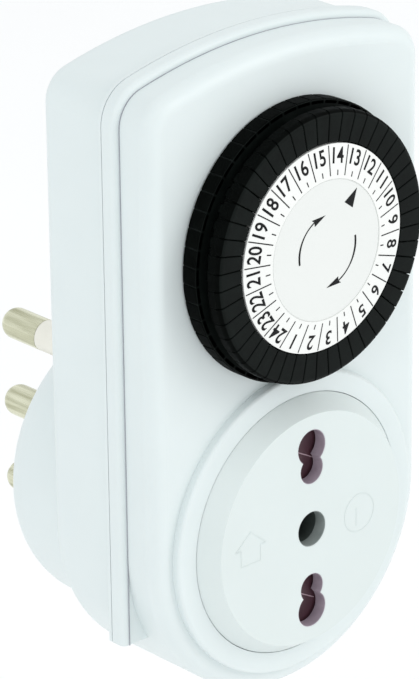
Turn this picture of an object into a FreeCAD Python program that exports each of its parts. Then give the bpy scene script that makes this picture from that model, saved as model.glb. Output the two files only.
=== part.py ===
"""Plug-in mechanical day timer: dial with 48 half-hour tappets, safety socket and three-pin plug.

Frame: the origin is the root of the earth pin on the plug's wall face. +Y points into the wall,
-Y points at the user, +X is to the user's right and +Z is up. Millimetres.
Depths in the sheet are distances in front of the wall face, so a depth d lies at y = -d.
"""
import FreeCAD, Part
import math
import os
import Sketcher

V = FreeCAD.Vector
Rotation = FreeCAD.Rotation
Placement = FreeCAD.Placement

doc = FreeCAD.newDocument("timer")
sheet = doc.addObject("Spreadsheet::Sheet", "Sizes")

SIZES = {
    # case outline, seen from the front
    "half_width": 26.5, "arch_top": 73.4, "arch_radius": 88, "corner_radius": 5.2,
    "wall": 2, "front_round": 2.4, "rear_round": 2.5,
    # depths in front of the wall face
    "front_depth": 44.6, "part_depth": 36, "rear_depth": 21.4, "boss_depth": 5,
    "collar_depth": 46, "lip_depth": 38.4, "lip_out": 1.1, "lip_bottom": 13.5,
    "boss_radius": 23, "boss_round": 6, "pad_width": 14, "pad_height": 36, "pad_round": 0.8,
    # screws between the two covers
    "post_x": 20.3, "low_post_z": 23.2, "high_post_x": 18.8, "high_post_z": 65.6,
    "post_radius": 2.8, "column_radius": 4, "pilot_radius": 1.3, "screw_hole": 1.6,
    "screw_radius": 1.25, "head_radius": 2.5, "head_height": 1.8, "head_seat": 24.8,
    # socket
    "collar_radius": 23.4, "socket_opening": 20.15, "face_radius": 20.05, "flat_radius": 18,
    "face_depth": 49, "face_skin": 2, "skirt_depth": 42.6, "skirt_wall": 1.4,
    "pin_pitch": 13, "big_hole": 2.75, "small_hole": 2.25, "small_pitch": 9.5,
    "housing_radius": 17.6, "housing_front": 43.4, "housing_back": 29, "flange_radius": 21.6,
    "flange_front": 42.4, "flange_back": 40.9, "cell_half": 3.8, "cell_low": 6.3, "cell_high": 16.2,
    "earth_cell": 4, "cell_floor": 30.2, "earth_tube": 3.3,
    "shutter_front": 46.7, "shutter_back": 45, "shutter_radius": 16.4, "shutter_bore": 3.4,
    "shutter_hub": 5.4, "shutter_angle": 40,
    # plug pins and contacts
    "pin_radius": 2.5, "pin_length": 19, "pin_dome": 2.2, "core_radius": 1.9, "neck_radius": 2.2,
    "sleeve_length": 10, "pin_seat": 0.1,
    "rivet_front": 8.2, "rivet_back": 7, "rivet_radius": 3.2, "sheet_metal": 0.6, "strap_reach": 28,
    # dial
    "dial_z": 44.4, "dial_opening": 19.3, "band_radius": 20.8, "band_front": 47.4, "band_back": 44.9,
    "drum_radius": 19, "drum_back": 43.6, "wall_ring_in": 14.2, "wall_ring_out": 15.3,
    "web_front": 50.4, "web_back": 49.4, "hub_radius": 3.5, "hub_back": 41.2, "post_bore": 1.56,
    "slot_in": 16.8, "slot_out": 18.8, "slot_width": 1.5,
    "hour_radius": 15.4, "hour_bore": 10.5, "hour_front": 51.3, "centre_front": 52.1,
    "centre_radius": 10.35, "disc_front": 52, "label_thick": 0.9,
    # tappets
    "tappet_in": 15.6, "tappet_out": 20.4, "tappet_front": 51.3,
    "tappet_round": 0.8, "stem_in": 17, "stem_out": 18.6, "stem_width": 1.2, "stem_end": 43,
    "tappet_gap": 0.22, "tappet_travel": 1.7,
    # gear train
    "tooth_module": 0.5, "dial_teeth": 60, "pinion_teeth": 12, "first_teeth": 36,
    "second_teeth": 32, "motor_teeth": 16, "gear_thick": 1.4, "dial_gear_front": 40.4,
    "plate_front": 37.6, "plate_back": 36.4, "first_front": 36, "second_front": 34.2,
    "motor_plate_front": 32.6, "motor_plate_back": 31.6, "motor_back": 24.2, "motor_radius": 14,
    "arbor_radius": 0.6,
    # shutter spring
    "spring_radius": 4.5, "spring_wire": 0.25, "spring_turn": 290, "spring_depth": 44.3,
    "spring_leg": 1.6,
    # switch
    "lever_depth": 39, "lever_z": 20, "nose_x": 1.1,
}
for row, (alias, value) in enumerate(SIZES.items(), start=1):
    sheet.set(f"A{row}", alias)
    sheet.set(f"B{row}", str(value))
    sheet.setAlias(f"B{row}", alias)
doc.recompute()


def size(alias):
    """The sheet's present value of one alias."""
    return float(sheet.get(alias))


def expression(text):
    """Put the sheet's name in front of every alias in an expression."""
    words = "".join(char if char.isalnum() or char == "_" else " " for char in str(text)).split()
    out = str(text)
    for word in sorted(set(words) & set(SIZES), key=len, reverse=True):
        parts = out.split(word)
        out = parts[0]
        for piece in parts[1:]:
            whole = not (out and (out[-1].isalnum() or out[-1] in "_.")) and \
                not (piece and (piece[0].isalnum() or piece[0] == "_"))
            out += ("Sizes." + word if whole else word) + piece
    return out


def number(text):
    """The value of an expression in the sheet's aliases."""
    return float(FreeCAD.Units.Quantity(sheet.evalExpression(expression(text))).Value)


def bind(target, **properties):
    """Bind properties to expressions; x, y and z are the placement's base."""
    for name, text in properties.items():
        path = f".Placement.Base.{name}" if name in ("x", "y", "z") else name
        target.setExpression(path, expression(text))
    return target


ALONG_Y = Rotation(V(1, 0, 0), -90)
ALONG_X = Rotation(V(0, 1, 0), 90)

TAPPETS = 48
HOURS = 24
# Directions are in degrees from +X towards +Z, as the user sees them.
HOUR_LINE = 56
HOUR_LINE_FIELD = 13
TAPPET_STEP = 360 / TAPPETS
SLOT_ANGLE = HOUR_LINE + TAPPET_STEP / 2 - 90
FIRST_DIRECTION = 110
SECOND_DIRECTION = -30
MOTOR_DIRECTION = -70
MOTOR_CENTRE = (2, 45.5)


def cylinder(label, radius, length, x=0, y=0, z=0, turn=ALONG_Y):
    """A cylinder whose axis runs to +Y from (x, y, z), or as turn says."""
    made = doc.addObject("Part::Cylinder", label)
    made.Placement = Placement(V(0, 0, 0), turn)
    return bind(made, Radius=radius, Height=length, x=x, y=y, z=z)


def block(label, x, y, z, long_x, long_y, long_z):
    """A box given by its lowest corner and its three lengths."""
    made = doc.addObject("Part::Box", label)
    return bind(made, Length=long_x, Width=long_y, Height=long_z, x=x, y=y, z=z)


def fuse(label, *pieces):
    made = doc.addObject("Part::MultiFuse", label)
    made.Shapes = list(pieces)
    made.Refine = True
    return made


def cut(label, base, *tools):
    made = doc.addObject("Part::Cut", label)
    made.Base = base
    made.Tool = tools[0] if len(tools) == 1 else fuse(label + "_tools", *tools)
    return made


def group(label, *pieces):
    made = doc.addObject("Part::Compound", label)
    made.Links = list(pieces)
    return made


def part_feature(label, shape, place=None):
    made = doc.addObject("Part::Feature", label)
    made.Shape = shape
    made.Placement = place or Placement()
    return made


# ---------------------------------------------------------------- sketches and PartDesign bodies

def new_body(label):
    return doc.addObject("PartDesign::Body", label)


def new_sketch(body, name, role="XZ_Plane", depth=None):
    """A sketch on the body's own origin plane. On XZ, depth moves it that far towards the user."""
    sketch = body.newObject("Sketcher::SketchObject", name)
    plane = next(item for item in body.Origin.OriginFeatures if item.Role == role)
    sketch.AttachmentSupport = (plane, "")
    sketch.MapMode = "FlatFace"
    if depth is not None:
        sketch.setExpression("AttachmentOffset.Base.z", expression(depth))
    return sketch


def hold(sketch, kind, *what, value):
    """Add a dimension and bind it to the sheet."""
    index = sketch.addConstraint(Sketcher.Constraint(kind, *what, number(value)))
    sketch.setExpression(f"Constraints[{index}]", expression(value))


def hold_point(sketch, geo, pos, x, y):
    """Fix one point of a sketch at (x, y); negative places are dimensioned the other way round."""
    for kind, text in (("DistanceX", x), ("DistanceY", y)):
        value = number(text)
        if abs(value) < 1e-9:
            axis = -2 if kind == "DistanceX" else -1
            sketch.addConstraint(Sketcher.Constraint("PointOnObject", geo, pos, axis))
        elif value > 0:
            hold(sketch, kind, -1, 1, geo, pos, value=text)
        else:
            hold(sketch, kind, geo, pos, -1, 1, value=f"-({text})")


def circles(sketch, *wanted):
    """Circles given as (x, y, radius)."""
    for x, y, radius in wanted:
        geo = sketch.addGeometry(Part.Circle(V(number(x), number(y), 0), V(0, 0, 1), number(radius)))
        hold_point(sketch, geo, 3, x, y)
        hold(sketch, "Radius", geo, value=radius)


def polygon(sketch, corners):
    """A closed outline of straight lines through corners given as (x, y)."""
    points = [V(number(x), number(y), 0) for x, y in corners]
    count = len(points)
    lines = []
    for i in range(count):
        lines.append(sketch.addGeometry(Part.LineSegment(points[i], points[(i + 1) % count])))
    for i, (x, y) in enumerate(corners):
        sketch.addConstraint(Sketcher.Constraint("Coincident", lines[i - 1], 2, lines[i], 1))
        hold_point(sketch, lines[i], 1, x, y)


def arched_outline(sketch, grow="0", square_bottom=False):
    """The case's outline: sides, rounded top corners and a shallow arch. The bottom is a half
    circle about the socket, or a straight edge at the lip's lower end."""
    width = number(f"half_width + {grow}")
    corner = number(f"corner_radius + {grow}")
    arch = number(f"arch_radius + {grow}")
    drop = number("arch_radius - arch_top")
    corner_x = width - corner
    corner_z = math.sqrt((arch - corner) ** 2 - corner_x ** 2) - drop
    tilt = math.atan2(corner_z + drop, corner_x)
    bottom_z = -number("lip_bottom") if square_bottom else 0
    up = V(0, 0, 1)

    def arc(x, z, radius, start, end):
        return Part.ArcOfCircle(Part.Circle(V(x, z, 0), up, radius), start, end)

    right = sketch.addGeometry(Part.LineSegment(V(width, bottom_z, 0), V(width, corner_z, 0)))
    right_corner = sketch.addGeometry(arc(corner_x, corner_z, corner, 0, tilt))
    top = sketch.addGeometry(arc(0, -drop, arch, tilt, math.pi - tilt))
    left_corner = sketch.addGeometry(arc(-corner_x, corner_z, corner, math.pi - tilt, math.pi))
    left = sketch.addGeometry(Part.LineSegment(V(-width, corner_z, 0), V(-width, bottom_z, 0)))
    chain = [right, right_corner, top, left_corner, left]
    for first, second in zip(chain, chain[1:]):
        sketch.addConstraint(Sketcher.Constraint("Tangent", first, 2, second, 1))
    if square_bottom:
        bottom = sketch.addGeometry(Part.LineSegment(V(-width, bottom_z, 0), V(width, bottom_z, 0)))
        sketch.addConstraint(Sketcher.Constraint("Coincident", left, 2, bottom, 1))
        sketch.addConstraint(Sketcher.Constraint("Coincident", bottom, 2, right, 1))
        hold_point(sketch, left, 2, f"-(half_width + {grow})", "-lip_bottom")
        hold_point(sketch, right, 1, f"half_width + {grow}", "-lip_bottom")
        sketch.addConstraint(Sketcher.Constraint("Vertical", right))
        sketch.addConstraint(Sketcher.Constraint("Vertical", left))
    else:
        bottom = sketch.addGeometry(arc(0, 0, width, math.pi, 2 * math.pi))
        sketch.addConstraint(Sketcher.Constraint("Tangent", left, 2, bottom, 1))
        sketch.addConstraint(Sketcher.Constraint("Tangent", bottom, 2, right, 1))
        sketch.addConstraint(Sketcher.Constraint("Coincident", bottom, 3, -1, 1))
        hold(sketch, "Radius", bottom, value=f"half_width + {grow}")
        sketch.addConstraint(Sketcher.Constraint("Vertical", right))
    hold(sketch, "Radius", right_corner, value=f"corner_radius + {grow}")
    sketch.addConstraint(Sketcher.Constraint("Equal", right_corner, left_corner))
    sketch.addConstraint(Sketcher.Constraint("PointOnObject", top, 3, -2))
    hold(sketch, "DistanceY", top, 3, -1, 1, value="arch_radius - arch_top")
    hold(sketch, "Radius", top, value=f"arch_radius + {grow}")


def upright_slot(sketch, width, height):
    """A slot with round ends, standing on the Z axis and centred on the origin."""
    radius = number(f"{width} / 2")
    rise = number(f"({height} - {width}) / 2")
    up = V(0, 0, 1)
    top = sketch.addGeometry(Part.ArcOfCircle(Part.Circle(V(0, rise, 0), up, radius), 0, math.pi))
    left = sketch.addGeometry(Part.LineSegment(V(-radius, rise, 0), V(-radius, -rise, 0)))
    low_circle = Part.Circle(V(0, -rise, 0), up, radius)
    foot = sketch.addGeometry(Part.ArcOfCircle(low_circle, math.pi, 2 * math.pi))
    right = sketch.addGeometry(Part.LineSegment(V(radius, -rise, 0), V(radius, rise, 0)))
    ring = [top, left, foot, right]
    for first, second in zip(ring, ring[1:] + ring[:1]):
        sketch.addConstraint(Sketcher.Constraint("Tangent", first, 2, second, 1))
    hold_point(sketch, top, 3, "0", f"({height} - {width}) / 2")
    hold_point(sketch, foot, 3, "0", f"-({height} - {width}) / 2")
    hold(sketch, "Radius", top, value=f"{width} / 2")


def extrude(body, kind, sketch, length, reverse=False):
    """A Pad or Pocket of one sketch. It must change the body's volume the right way."""
    before = body.Shape.Volume if body.Tip else 0.0
    made = body.newObject("PartDesign::" + kind, sketch.Name + "_" + kind.lower())
    made.Profile = sketch
    made.setExpression("Length", expression(length))
    made.Reversed = reverse
    doc.recompute()
    change = body.Shape.Volume - before
    if (kind == "Pad") != (change > 0):
        raise RuntimeError(f"{made.Name} changed the volume by {change:.1f}")
    return made


def pad(body, sketch, length, reverse=False):
    return extrude(body, "Pad", sketch, length, reverse)


def pocket(body, sketch, length, reverse=False):
    return extrude(body, "Pocket", sketch, length, reverse)


def round_edges(body, radius, wanted):
    """Fillet the edges for which wanted(edge) is true."""
    base = body.Tip
    names = [f"Edge{i}" for i, edge in enumerate(base.Shape.Edges, start=1) if wanted(edge)]
    made = body.newObject("PartDesign::Fillet", body.Name + "_round")
    made.Base = (base, names)
    made.setExpression("Radius", expression(radius))
    doc.recompute()
    return made


def edge_middle(edge):
    return edge.valueAt((edge.FirstParameter + edge.LastParameter) / 2)


def lies_at(edge, depth):
    """True for an edge that lies wholly in the plane y = -depth."""
    box = edge.BoundBox
    return abs(box.YMin + depth) < 1e-4 and abs(box.YMax + depth) < 1e-4


POSTS = [
    ("post_x", "low_post_z"), ("-post_x", "low_post_z"),
    ("high_post_x", "high_post_z"), ("-high_post_x", "high_post_z"),
]


# ---------------------------------------------------------------- case

def front_cover():
    """Front shell with a rounded front edge, a bead round its rim, a collar round the socket,
    openings for the dial and the socket, and four screw posts."""
    body = new_body("front_cover")
    shell = new_sketch(body, "front_shell", depth="part_depth")
    arched_outline(shell)
    pad(body, shell, "front_depth - part_depth")
    round_edges(body, "front_round", lambda edge: lies_at(edge, size("front_depth")))
    lip = new_sketch(body, "front_lip", depth="part_depth")
    arched_outline(lip, "lip_out", square_bottom=True)
    pad(body, lip, "lip_depth - part_depth")
    limit = size("half_width") + size("lip_out")
    round_edges(body, "lip_out * 0.8",
                lambda edge: lies_at(edge, size("lip_depth")) and on_lip(edge, limit))
    collar = new_sketch(body, "front_collar", depth="front_depth - 1")
    circles(collar, ("0", "0", "collar_radius"))
    pad(body, collar, "collar_depth - front_depth + 1")
    round_edges(body, "0.5", lambda edge: lies_at(edge, size("collar_depth")))
    cavity = new_sketch(body, "front_cavity", depth="part_depth")
    arched_outline(cavity, "-wall")
    pocket(body, cavity, "front_depth - part_depth - wall", reverse=True)
    openings = new_sketch(body, "front_openings", depth="collar_depth + 1")
    circles(openings, ("0", "0", "socket_opening"), ("0", "dial_z", "dial_opening"))
    pocket(body, openings, "collar_depth - part_depth")
    posts = new_sketch(body, "front_posts", depth="front_depth - wall + 0.5")
    circles(posts, *[(x, z, "post_radius") for x, z in POSTS])
    pad(body, posts, "front_depth - wall + 0.5 - 30", reverse=True)
    pilots = new_sketch(body, "front_pilots", depth="30 - 1")
    circles(pilots, *[(x, z, "pilot_radius") for x, z in POSTS])
    pocket(body, pilots, "12", reverse=True)
    return body


def on_lip(edge, limit):
    """True for the bead's own outer edge, which stands outside the shell's outline."""
    middle = edge_middle(edge)
    low = -size("lip_bottom") + 0.01
    on_side = abs(abs(middle.x) - limit) < 0.01 and middle.z > low
    across_top = middle.z > size("arch_top") + 0.5 * size("lip_out")
    drop = size("arch_radius") - size("arch_top")
    corner_x = limit - size("corner_radius") - size("lip_out")
    reach = size("arch_radius") - size("corner_radius")
    corner_z = math.sqrt(reach ** 2 - corner_x ** 2) - drop
    away = math.hypot(abs(middle.x) - corner_x, middle.z - corner_z)
    on_corner = abs(away - size("corner_radius") - size("lip_out")) < 0.01 and middle.z > corner_z
    return on_side or across_top or on_corner


def rear_cover():
    """Rear shell with the round plug boss, the raised oblong pin pad and the screw columns."""
    body = new_body("rear_cover")
    shell = new_sketch(body, "rear_shell", depth="part_depth")
    arched_outline(shell)
    pad(body, shell, "part_depth - rear_depth", reverse=True)
    round_edges(body, "rear_round", lambda edge: lies_at(edge, size("rear_depth")))
    boss = new_sketch(body, "rear_boss", depth="rear_depth + 1")
    circles(boss, ("0", "0", "boss_radius"))
    pad(body, boss, "rear_depth + 1 - boss_depth", reverse=True)
    round_edges(body, "boss_round", lambda edge: lies_at(edge, size("boss_depth")))
    raised = new_sketch(body, "rear_pin_pad", depth="boss_depth + 1")
    upright_slot(raised, "pad_width", "pad_height")
    pad(body, raised, "boss_depth + 1", reverse=True)
    round_edges(body, "pad_round", lambda edge: lies_at(edge, 0))
    cavity = new_sketch(body, "rear_cavity", depth="part_depth")
    arched_outline(cavity, "-wall")
    pocket(body, cavity, "part_depth - rear_depth - wall")
    hollow = new_sketch(body, "rear_boss_hollow", depth="rear_depth + wall + 1")
    circles(hollow, ("0", "0", "boss_radius - wall"))
    pocket(body, hollow, "rear_depth + wall + 1 - rivet_back")
    columns = new_sketch(body, "rear_columns", depth="rear_depth + wall - 0.5")
    circles(columns, *[(x, z, "column_radius") for x, z in POSTS])
    pad(body, columns, "29.8 - (rear_depth + wall - 0.5)")
    bores = new_sketch(body, "rear_screw_bores", depth="30")
    circles(bores, *[(x, z, "screw_hole") for x, z in POSTS])
    pocket(body, bores, "10")
    seats = new_sketch(body, "rear_screw_seats", depth="head_seat")
    circles(seats, *[(x, z, "head_radius + 0.3") for x, z in POSTS])
    pocket(body, seats, "head_seat - rear_depth + 1")
    pins = new_sketch(body, "rear_pin_holes", depth="rivet_back + 1")
    circles(pins, ("0", "0", "neck_radius + 0.02"),
            *[("0", z, "core_radius + 0.02") for z in ("pin_pitch", "-pin_pitch")])
    pocket(body, pins, "rivet_back + 2")
    pin_seats = new_sketch(body, "rear_pin_seats", depth="pin_seat")
    circles(pin_seats, *[("0", z, "pin_radius + 0.02") for z in ("pin_pitch", "0", "-pin_pitch")])
    pocket(body, pin_seats, "pin_seat + 1")
    return body


def cover_screws():
    screws = []
    for index, (x, z) in enumerate(POSTS):
        head = cylinder(f"screw_head_{index}", "head_radius", "head_height", x, "-head_seat + 0.05", z)
        shank = cylinder(f"screw_shank_{index}", "screw_radius", "14.5", x, "-head_seat - 14.4", z)
        slot = block(f"screw_slot_{index}", f"{x} - 0.4", "-head_seat + head_height - 0.75",
                     f"{z} - head_radius", "0.8", "1", "head_radius * 2")
        screws.append(cut(f"screw_{index}", fuse(f"screw_blank_{index}", head, shank), slot))
    return group("cover_screws", *screws)


# ---------------------------------------------------------------- socket

def socket_face():
    """Round bevelled insert with two bivalent pin holes and the earth hole."""
    body = new_body("socket_face")
    profile = new_sketch(body, "face_profile", role="XY_Plane")
    polygon(profile, [
        ("0", "-face_depth"), ("flat_radius", "-face_depth"), ("face_radius", "-collar_depth"),
        ("face_radius", "-skirt_depth"), ("face_radius - skirt_wall", "-skirt_depth"),
        ("face_radius - skirt_wall", "-collar_depth + 0.6"),
        ("flat_radius - skirt_wall", "-face_depth + face_skin"), ("0", "-face_depth + face_skin"),
    ])
    turned = body.newObject("PartDesign::Revolution", "face_turned")
    turned.Profile = profile
    turned.ReferenceAxis = (profile, ["V_Axis"])
    turned.Angle = 360
    doc.recompute()
    big = new_sketch(body, "face_big_holes", depth="face_depth + 1")
    circles(big, *[("0", z, "big_hole") for z in ("pin_pitch", "0", "-pin_pitch")])
    pocket(body, big, "face_skin + 2")
    small = new_sketch(body, "face_small_holes", depth="face_depth + 1")
    circles(small, *[("0", z, "small_hole") for z in ("small_pitch", "-small_pitch")])
    pocket(body, small, "face_skin + 2")
    return body


def socket_housing():
    """Insulating block with a cell for each contact, and the earth tube that the shutter turns on."""
    drum = cylinder("housing_drum", "housing_radius", "housing_front - housing_back", y="-housing_front")
    flange = cylinder("housing_flange", "flange_radius", "flange_front - flange_back", y="-flange_front")
    tube = cylinder("housing_tube", "earth_tube", "face_depth - face_skin - housing_front + 0.4",
                    y="-face_depth + face_skin + 0.1")
    deep = "housing_front - cell_floor + 1"
    cells = [
        block("housing_line_cell", "-cell_half", "-housing_front - 1", "cell_low",
              "cell_half * 2", deep, "cell_high - cell_low"),
        block("housing_neutral_cell", "-cell_half", "-housing_front - 1", "-cell_high",
              "cell_half * 2", deep, "cell_high - cell_low"),
        cylinder("housing_earth_cell", "earth_cell", "housing_front - cell_floor - 1",
                 y="-housing_front + 1"),
        cylinder("housing_earth_way", "big_hole", "8", y="-face_depth + 1"),
    ]
    for name, z in (("line", "11.3"), ("neutral", "-11.3"), ("earth", "0")):
        cells.append(block(f"housing_{name}_slit", "-1.9", "-cell_floor - 1", f"{z} - 0.6",
                           "3.8", "4", "1.2"))
    return cut("socket_housing", fuse("housing_blank", drum, flange, tube), *cells)


def contact_clip(label, side):
    """U-shaped brass clip, open towards the user, with a tail through the housing's floor."""
    low = "cell_low + 0.8" if side > 0 else "-cell_high + 0.8"
    tall = "cell_high - cell_low - 1.6"
    leaf_long = "12.2"
    front = "-housing_front + 0.8"
    left = block(label + "_left", "-3.2", front, low, "sheet_metal", leaf_long, tall)
    right = block(label + "_right", "3.2 - sheet_metal", front, low, "sheet_metal", leaf_long, tall)
    web = block(label + "_web", "-3.2", "-cell_floor - sheet_metal", low, "6.4", "sheet_metal", tall)
    tail = block(label + "_tail", "-1.6", "-cell_floor - 0.3", f"{11.3 * side} - 0.3", "3.2", "4.3",
                 "sheet_metal")
    return fuse(label, left, right, web, tail)


def earth_contact():
    """Split brass tube for the earth pin, closed by a web with a tail."""
    outer = cylinder("earth_contact_tube", "3.2", "11.4", y="-housing_front + 1.6")
    bore = cylinder("earth_contact_bore", "2.6", "12", y="-housing_front + 1")
    slit = block("earth_contact_slit", "-4", "-housing_front + 1", "-0.4", "8", "8", "0.8")
    web = cylinder("earth_contact_web", "3.2", "sheet_metal", y="-cell_floor - sheet_metal")
    tail = block("earth_contact_tail", "-1.6", "-cell_floor - 0.3", "-0.3", "3.2", "4.3", "sheet_metal")
    return fuse("earth_contact", cut("earth_contact_split", outer, bore, slit), web, tail)


def safety_shutter():
    """Turning shutter: a hub on the earth tube and two arms that close the live holes."""
    thick = "shutter_front - shutter_back"
    arms = []
    for name, middle in (("upper", -90), ("lower", 90)):
        turn = ALONG_Y.multiply(Rotation(V(0, 0, 1), middle - size("shutter_angle") / 2))
        arm = cylinder(f"shutter_{name}_arm", "shutter_radius", thick, y="-shutter_front", turn=turn)
        arms.append(bind(arm, Angle="shutter_angle"))
    hub = cylinder("shutter_hub_disc", "shutter_hub", thick, y="-shutter_front")
    bore = cylinder("shutter_hub_bore", "shutter_bore", thick + " + 2", y="-shutter_front - 1")
    blank = fuse("shutter_blank", hub, *arms)
    return cut("safety_shutter", blank, bore)


def shutter_spring():
    """Torsion spring of one open turn round the earth tube, with a leg at each end."""
    ring = doc.addObject("Part::Torus", "shutter_spring_ring")
    ring.Placement = Placement(V(0, 0, 0), ALONG_Y)
    bind(ring, Radius1="spring_radius", Radius2="spring_wire", Angle3="spring_turn", y="-spring_depth")
    legs = []
    for index, turn in enumerate((0, size("spring_turn"))):
        outward = Rotation(V(0, 1, 0), turn).multiply(ALONG_X)
        leg = cylinder(f"shutter_spring_leg_{index}", "spring_wire", "spring_leg",
                       f"spring_radius * {math.cos(math.radians(turn)):.6f}", "-spring_depth",
                       f"-spring_radius * {math.sin(math.radians(turn)):.6f}", turn=outward)
        legs.append(leg)
    return fuse("shutter_spring", ring, *legs)


# ---------------------------------------------------------------- plug

def plug_pin(label, z, thin_radius, thin_end):
    """Turned pin: a thin part through the cover up to thin_end, a full-size domed end and a
    riveted head."""
    thin = cylinder(label + "_thin", thin_radius, f"rivet_back + ({thin_end}) + 0.5", y="-rivet_back", z=z)
    end = cylinder(label + "_end", "pin_radius", f"pin_length - ({thin_end})", y=thin_end, z=z)
    head = cylinder(label + "_head", "rivet_radius", "rivet_front - rivet_back", y="-rivet_front", z=z)
    return domed(label, fuse(label + "_blank", thin, end, head))


def domed(label, blank):
    """Round the tip of a pin."""
    doc.recompute()
    made = doc.addObject("Part::Fillet", label)
    made.Base = blank
    tips = [i for i, edge in enumerate(blank.Shape.Edges, start=1) if lies_at(edge, -size("pin_length"))]
    made.Edges = [(i, size("pin_dome"), size("pin_dome")) for i in tips]
    return made


def pin_sleeves():
    """Insulating sleeves on the roots of the line and neutral pins."""
    sleeves = []
    for name, z in (("line", "pin_pitch"), ("neutral", "-pin_pitch")):
        outer = cylinder(f"{name}_sleeve_outer", "pin_radius - 0.02", "pin_seat + sleeve_length - 0.05",
                         y="-pin_seat", z=z)
        inner = cylinder(f"{name}_sleeve_inner", "core_radius + 0.02", "sleeve_length + 2", y="-1", z=z)
        sleeves.append(cut(f"{name}_sleeve", outer, inner))
    return group("pin_sleeves", *sleeves)


def pin_strap(label, z):
    """Brass strip: a plate under the pin's head and a leg that runs forward to the socket."""
    plate = block(label + "_plate", "-3", "-rivet_front - sheet_metal", f"{z} - 3", "6", "sheet_metal", "6")
    leg = block(label + "_leg", "3 - sheet_metal", "-strap_reach", f"{z} - 1.5", "sheet_metal",
                "strap_reach - rivet_front", "3")
    return fuse(label, plate, leg)


# ---------------------------------------------------------------- dial

def dial_wheel():
    """Black wheel that carries the tappets: slotted band and drum, step wall, web and hub."""
    body = new_body("dial_wheel")
    profile = new_sketch(body, "wheel_profile", role="XY_Plane")
    polygon(profile, [
        ("post_bore", "-web_front"), ("wall_ring_out", "-web_front"), ("wall_ring_out", "-band_front"),
        ("band_radius", "-band_front"), ("band_radius", "-band_back"), ("drum_radius", "-band_back"),
        ("drum_radius", "-drum_back"), ("wall_ring_in", "-drum_back"), ("wall_ring_in", "-web_back"),
        ("hub_radius", "-web_back"), ("hub_radius", "-hub_back"), ("post_bore", "-hub_back"),
    ])
    turned = body.newObject("PartDesign::Revolution", "wheel_turned")
    turned.Profile = profile
    turned.ReferenceAxis = (profile, ["V_Axis"])
    turned.Angle = 360
    doc.recompute()
    slot = new_sketch(body, "wheel_slot", depth="band_front + 1")
    polygon(slot, [("-slot_width / 2", "slot_in"), ("slot_width / 2", "slot_in"),
                   ("slot_width / 2", "slot_out"), ("-slot_width / 2", "slot_out")])
    one = pocket(body, slot, "band_front - drum_back + 2")
    around = body.newObject("PartDesign::PolarPattern", "wheel_slots")
    around.Originals = [one]
    around.Axis = (slot, ["N_Axis"])
    around.Angle = 360
    around.Occurrences = TAPPETS
    body.Tip = around
    doc.recompute()
    body.Placement = Placement(V(0, 0, size("dial_z")), Rotation(V(0, 1, 0), -SLOT_ANGLE))
    return body


def hour_ring():
    """Shallow cone printed with the hours."""
    body = new_body("hour_ring")
    profile = new_sketch(body, "hour_profile", role="XY_Plane")
    polygon(profile, [
        ("hour_bore", "-centre_front"), ("hour_radius", "-hour_front"),
        ("hour_radius", "-hour_front + label_thick"), ("hour_bore", "-centre_front + label_thick")])
    turned = body.newObject("PartDesign::Revolution", "hour_turned")
    turned.Profile = profile
    turned.ReferenceAxis = (profile, ["V_Axis"])
    turned.Angle = 360
    doc.recompute()
    body.Placement = Placement(V(0, 0, size("dial_z")), Rotation())
    return body


def tappet_blank():
    """One tappet, on the +X side of a dial centred on the origin: a rounded head segment and a stem."""
    half = math.radians(TAPPET_STEP / 2)
    inner, outer, gap = size("tappet_in"), size("tappet_out"), size("tappet_gap") / 2
    front, back = -size("tappet_front"), -size("band_front") - size("tappet_travel") - 0.1
    edge = size("tappet_round")
    middle = edge * (1 - math.sqrt(0.5))
    rounding = Part.Arc(V(outer - edge, front, 0), V(outer - middle, front + middle, 0),
                        V(outer, front + edge, 0)).toShape()
    face_line = Part.makePolygon([V(inner, front, 0), V(outer - edge, front, 0)])
    rest = Part.makePolygon([V(outer, front + edge, 0), V(outer, back, 0), V(inner, back, 0),
                             V(inner, front, 0)])
    profile = Part.Face(Part.Wire(face_line.Edges + [rounding] + rest.Edges))
    ring = profile.revolve(V(0, 0, 0), V(0, 1, 0), 360)

    def flank_point(radius, side):
        """A point on a segment's flank, half a gap inside the boundary between two tappets."""
        across = radius * math.sin(half) - gap / math.cos(half)
        return V(radius * math.cos(half), 0, across * side)

    near, far = inner * 0.8, outer * 1.2
    outline = Part.makePolygon([flank_point(near, -1), flank_point(far, -1), flank_point(far, 1),
                                flank_point(near, 1), flank_point(near, -1)])
    wedge = Part.Face(Part.Wire(outline.Edges)).extrude(V(0, front * 1.2, 0))
    head = ring.common(wedge)
    stem_corner = V(size("stem_in"), front + 1, -size("stem_width") / 2)
    stem = Part.makeBox(size("stem_out") - size("stem_in"),
                        size("tappet_front") - size("stem_end") - 1, size("stem_width"), stem_corner)
    return head.fuse(stem).removeSplitter()


def tappets():
    """Two tappets to each hour, standing out: the field's first and second half hour."""
    blank = tappet_blank()
    made = []
    for hour in range(1, HOURS + 1):
        pair = [blank.copy() for _ in range(2)]
        for index, piece in enumerate(pair):
            piece.rotate(V(0, 0, 0), V(0, 1, 0), -TAPPET_STEP * (index + 0.5))
        start = HOUR_LINE + 2 * TAPPET_STEP * (hour - HOUR_LINE_FIELD)
        place = Placement(V(0, 0, size("dial_z")), Rotation(V(0, 1, 0), -start))
        made.append(part_feature(f"tappets_hour_{hour:02d}", Part.makeCompound(pair), place))
    return made


def centre_post():
    shaft = cylinder("centre_post_shaft", "1.5", "disc_front - label_thick - plate_front + 0.6",
                     y="-disc_front + label_thick - 0.6", z="dial_z")
    foot = cylinder("centre_post_foot", "3", "1.2", y="-plate_front - 1.2", z="dial_z")
    return fuse("centre_post", shaft, foot)


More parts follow.
